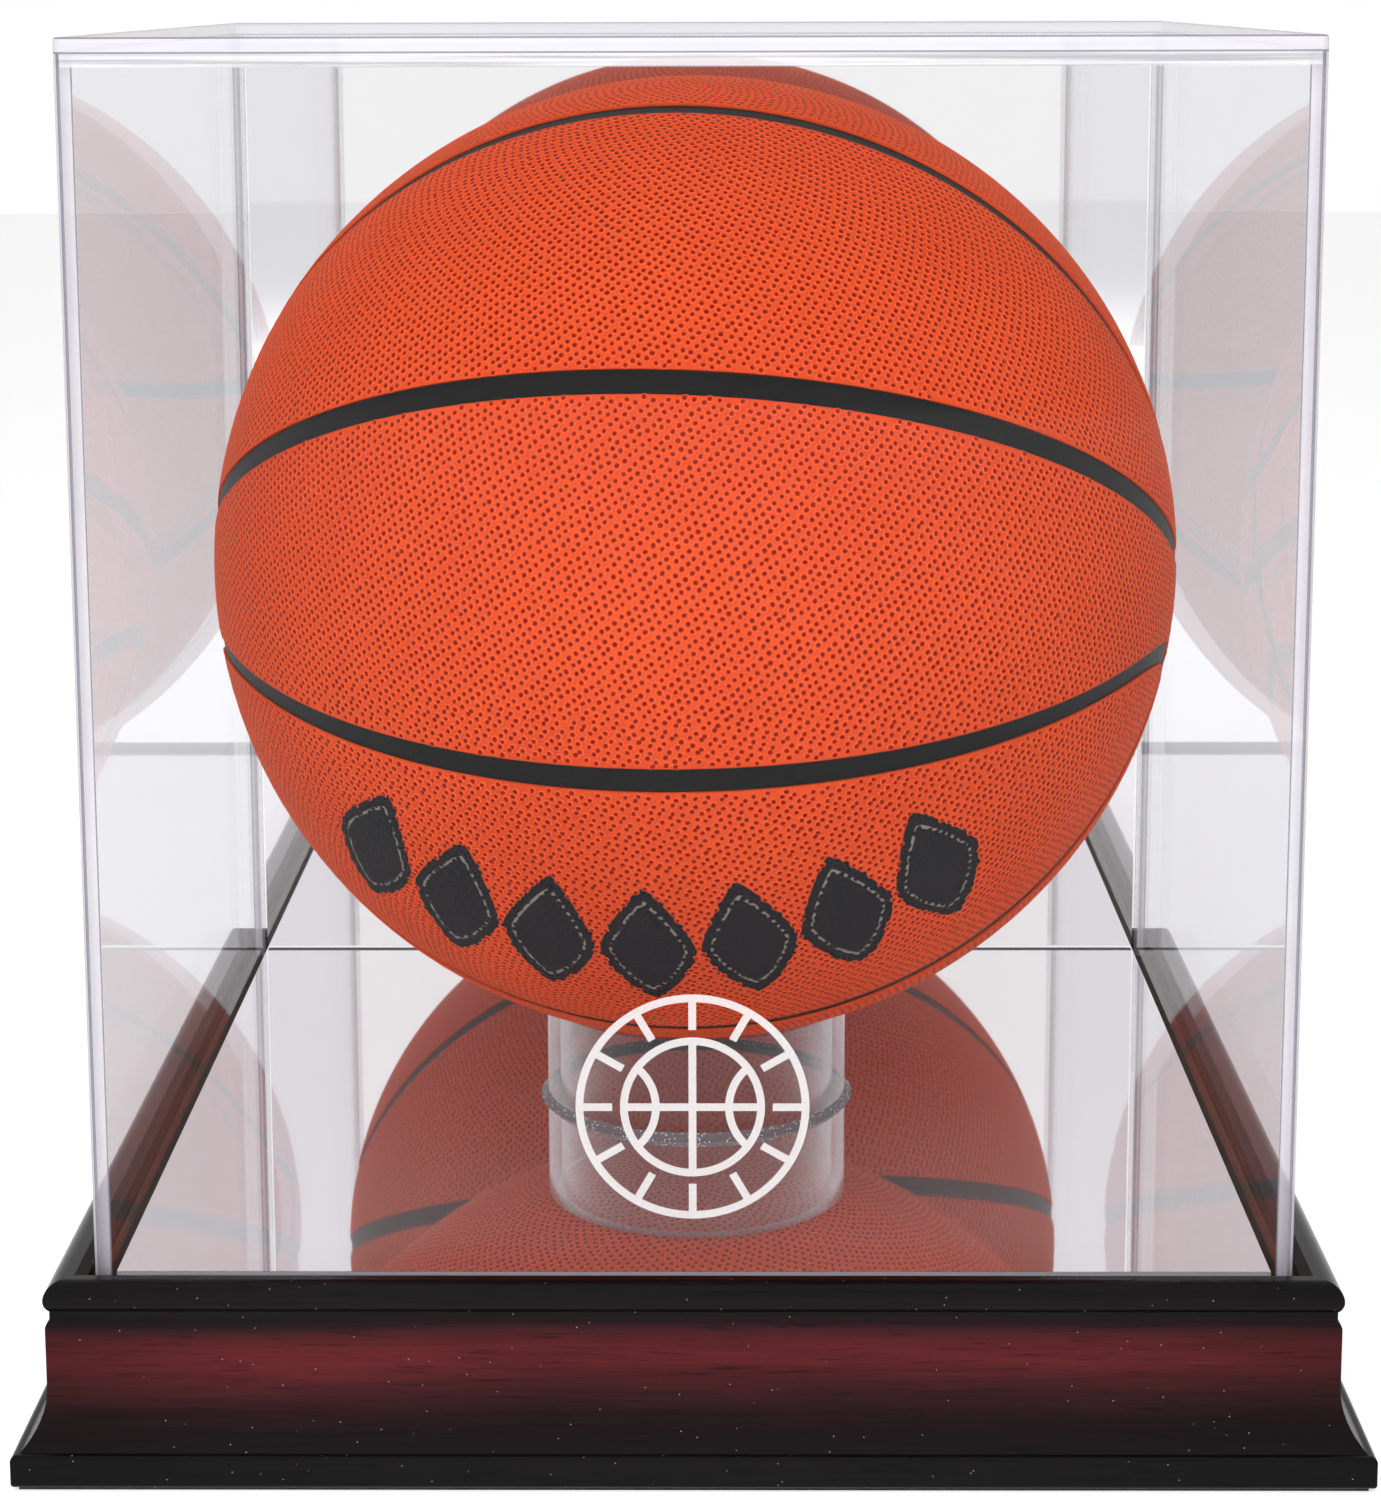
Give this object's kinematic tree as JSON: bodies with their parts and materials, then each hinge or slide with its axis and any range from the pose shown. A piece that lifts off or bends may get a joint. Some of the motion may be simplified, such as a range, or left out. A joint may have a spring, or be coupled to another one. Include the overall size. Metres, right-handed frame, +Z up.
{
  "type": "ball display case",
  "caption": "Display case for a full-size basketball: moulded wood base, mirror floor and back, clear ring stand, and a clear box cover that lifts off over the ball.",
  "frame": {"origin": "centre of the underside of the base", "axes": "+Z up, the printed front faces -Y, the mirror back is towards +Y, +X to the right of someone facing the front"},
  "size_m": [0.297, 0.297, 0.3127],
  "materials": {
    "stained_wood": "red mahogany stain under gloss lacquer, shaded to near black on the edges",
    "bare_wood": "bare softwood",
    "board": "plain fibreboard",
    "felt": "black felt",
    "screw_steel": "zinc-plated steel",
    "mirror_sheet": "silvered acrylic sheet",
    "tape": "double-sided foam tape",
    "clear_sheet": "clear polished acrylic",
    "clear_cement": "clear cured cement",
    "white_print": "translucent white ink",
    "ball_rubber": "black rubber",
    "rib_rubber": "smooth black rubber",
    "ball_leather": "pebbled orange leather"
  },
  "bodies": {
    "base": {"moulding_front": "stained_wood", "moulding_back": "stained_wood", "moulding_left": "stained_wood", "moulding_right": "stained_wood", "corner_block_front_left": "bare_wood", "corner_block_front_right": "bare_wood", "corner_block_back_left": "bare_wood", "corner_block_back_right": "bare_wood", "deck_board": "board", "bottom_board": "board", "felt_sheet": "felt", "deck_screw_front_left": "screw_steel", "deck_screw_front_right": "screw_steel", "deck_screw_back_left": "screw_steel", "deck_screw_back_right": "screw_steel", "bottom_screw_front_left": "screw_steel", "bottom_screw_front_right": "screw_steel", "bottom_screw_back_left": "screw_steel", "bottom_screw_back_right": "screw_steel", "mirror_floor": "mirror_sheet", "mirror_floor_tape": "tape", "ring_stand": "clear_sheet", "ring_cement": "clear_cement"},
    "cover": {"cover_front": "clear_sheet", "cover_back": "clear_sheet", "cover_left": "clear_sheet", "cover_right": "clear_sheet", "cover_top": "clear_sheet", "mirror_back": "mirror_sheet", "mirror_back_tape": "tape", "front_emblem": "white_print"},
    "ball": {"ball_bladder": "ball_rubber", "ball_carcass": "ball_rubber", "ball_valve": "ball_rubber", "rib_equator": "rib_rubber", "rib_meridian": "rib_rubber", "rib_oval_top": "rib_rubber", "rib_oval_bottom": "rib_rubber", "panel_long_1": "ball_leather", "panel_long_2": "ball_leather", "panel_long_3": "ball_leather", "panel_long_4": "ball_leather", "panel_oval_1": "ball_leather", "panel_oval_2": "ball_leather", "panel_oval_3": "ball_leather", "panel_oval_4": "ball_leather"}
  },
  "joints": [
    {"name": "cover_lift", "type": "slide", "parent": "base", "child": "cover", "axis": [0, 0, 1], "range_m": [0, 0.3]},
    {"name": "ball_turn", "type": "hinge", "parent": "base", "child": "ball", "pos_m": [0, -0.004, 0.0679], "axis": [0, 0, 1], "continuous": true}
  ]
}
